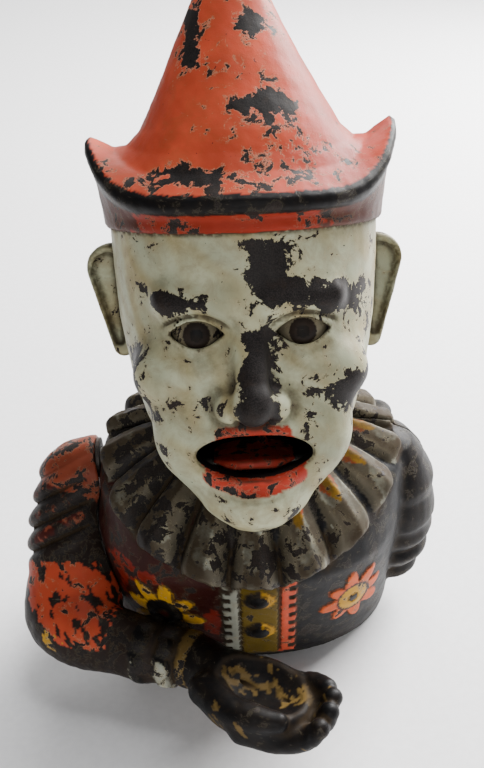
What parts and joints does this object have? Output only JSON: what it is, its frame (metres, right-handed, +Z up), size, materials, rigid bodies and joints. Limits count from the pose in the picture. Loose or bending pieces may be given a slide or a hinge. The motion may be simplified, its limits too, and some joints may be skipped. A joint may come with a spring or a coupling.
{
  "type": "mechanical coin bank",
  "caption": "Clown bust coin bank with a cocked hat and pleated ruff; a thumb lever lifts the cupped right hand to the mouth, rolls the eyes and tips the tongue.",
  "frame": {"origin": "underside of the base plate, midway between the shoulders, on the line of the arm shaft's middle", "axes": "+Z up, -Y the way the clown faces, +X the viewer's right seen from the front"},
  "size_m": [0.1224, 0.1166, 0.1903],
  "materials": {
    "bust_paint": "worn gloss enamel over dark cast iron",
    "arm_paint": "worn black and red enamel over dark cast iron",
    "lever_paint": "worn black enamel over cast iron",
    "eye_paint": "gloss white enamel with a dark iris",
    "tongue_paint": "worn dark red enamel",
    "bare_iron": "bare cast iron, dark with age",
    "aged_steel": "dull turned steel"
  },
  "bodies": {
    "bust": {"front_casting": "bust_paint", "back_casting": "bust_paint", "base_plate": "bare_iron", "upper_casting_screw": "aged_steel", "lower_casting_screw": "aged_steel", "base_screw_1": "aged_steel", "base_screw_2": "aged_steel", "base_screw_3": "aged_steel", "thumb_lever_pin": "aged_steel", "tongue_pivot_pin": "aged_steel"},
    "arm": {"right_arm": "arm_paint", "arm_shaft": "aged_steel", "arm_cross_pin": "aged_steel", "arm_washer": "aged_steel", "shaft_collar": "aged_steel", "lift_crank": "bare_iron", "lift_crank_pin": "aged_steel", "draw_crank": "bare_iron", "draw_crank_pin": "aged_steel"},
    "lever": {"thumb_lever": "lever_paint"},
    "draw": {"draw_bar": "bare_iron"},
    "tongue_body": {"tongue": "tongue_paint", "tongue_tail_pin": "aged_steel"},
    "eyes": {"eye_yoke": "bare_iron", "left_eyeball": "eye_paint", "right_eyeball": "eye_paint", "eye_tail_pin": "aged_steel"},
    "trap": {"coin_trap_cover": "aged_steel"}
  },
  "joints": [
    {"name": "arm_lift", "type": "hinge", "parent": "bust", "child": "arm", "pos_m": [0, 0.005, 0.055], "axis": [-1, 0, 0], "range_deg": [0, 55]},
    {"name": "lever_press", "type": "hinge", "parent": "bust", "child": "lever", "pos_m": [0.022, 0.024, 0.05], "axis": [-1, 0, 0], "range_deg": [0, 19.6]},
    {"name": "draw_slide", "type": "slide", "parent": "bust", "child": "draw", "axis": [0, 0, -1], "range_m": [0, 0.01235]},
    {"name": "tongue_tip", "type": "hinge", "parent": "bust", "child": "tongue_body", "pos_m": [0, -0.0322, 0.081], "axis": [-1, 0, 0], "range_deg": [0, 15.5]},
    {"name": "eye_roll", "type": "hinge", "parent": "bust", "child": "eyes", "pos_m": [0, -0.02228, 0.1141], "axis": [-1, 0, 0], "range_deg": [0, 19.75]},
    {"name": "trap_twist", "type": "hinge", "parent": "bust", "child": "trap", "pos_m": [0, 0.016, 0.0016], "axis": [0, 0, 1], "range_deg": [0, 90]}
  ],
  "couplings": [
    {"joint": "lever_press", "follows": "arm_lift", "ratio": 0.35404},
    {"joint": "draw_slide", "follows": "arm_lift", "m_per_rad": 0.012795},
    {"joint": "tongue_tip", "follows": "arm_lift", "ratio": 0.28012},
    {"joint": "eye_roll", "follows": "arm_lift", "ratio": 0.35709}
  ]
}
